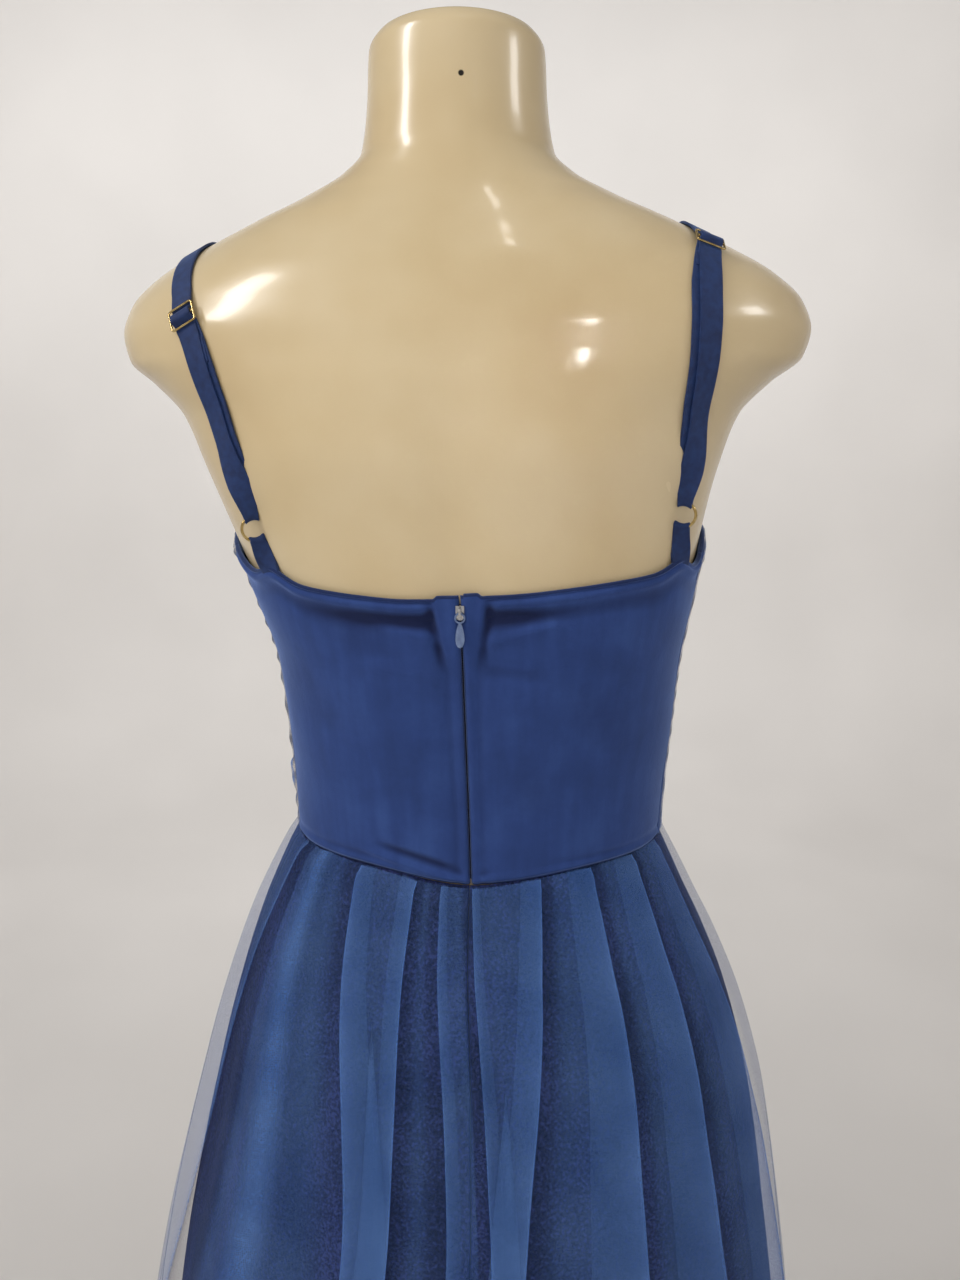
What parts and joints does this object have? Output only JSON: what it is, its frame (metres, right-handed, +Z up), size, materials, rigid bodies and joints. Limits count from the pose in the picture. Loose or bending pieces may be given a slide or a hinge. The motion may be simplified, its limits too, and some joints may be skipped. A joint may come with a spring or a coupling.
{
  "type": "party dress on dress form",
  "caption": "Long blue party dress with a fitted zipped bodice, thin adjustable straps and a pleated sheer skirt, on a headless dress form with a round stand.",
  "frame": {"origin": "middle of the underside of the stand's base plate, on the floor", "axes": "+Z up, -Y towards the front of the dress, +X towards the side that the wearer calls left"},
  "size_m": [0.7261, 0.7154, 1.528],
  "materials": {
    "bodice_cloth": "matt crepe with a soft sheen",
    "tulle": "sheer net",
    "lining_cloth": "plain weave",
    "zip_tape": "woven tape",
    "strap_metal": "pale gold plating",
    "zip_metal": "enamelled",
    "form_plastic": "glossy",
    "stand_steel": "brushed"
  },
  "bodies": {
    "dress_on_form": {"bodice_front": "bodice_cloth", "bodice_back_left": "bodice_cloth", "bodice_back_right": "bodice_cloth", "ring_tab_left": "bodice_cloth", "ring_tab_right": "bodice_cloth", "strap_left": "bodice_cloth", "strap_right": "bodice_cloth", "strap_ring_left": "strap_metal", "strap_ring_right": "strap_metal", "strap_slider_left": "strap_metal", "strap_slider_right": "strap_metal", "zip_tape": "zip_tape", "zip_slider": "zip_metal", "lining_front": "lining_cloth", "lining_back_left": "lining_cloth", "lining_back_right": "lining_cloth", "overskirt_front": "tulle", "overskirt_back_left": "tulle", "overskirt_back_right": "tulle", "dress_form": "form_plastic", "stand_pole": "stand_steel", "stand_base": "stand_steel"},
    "zip_pull": {"zip_pull": "zip_metal"}
  },
  "joints": [
    {"name": "zip_pull_swing", "type": "hinge", "parent": "dress_on_form", "child": "zip_pull", "pos_m": [0.00746, 0.10106, 1.21372], "axis": [1, 0, 0], "range_deg": [0, 140]}
  ]
}
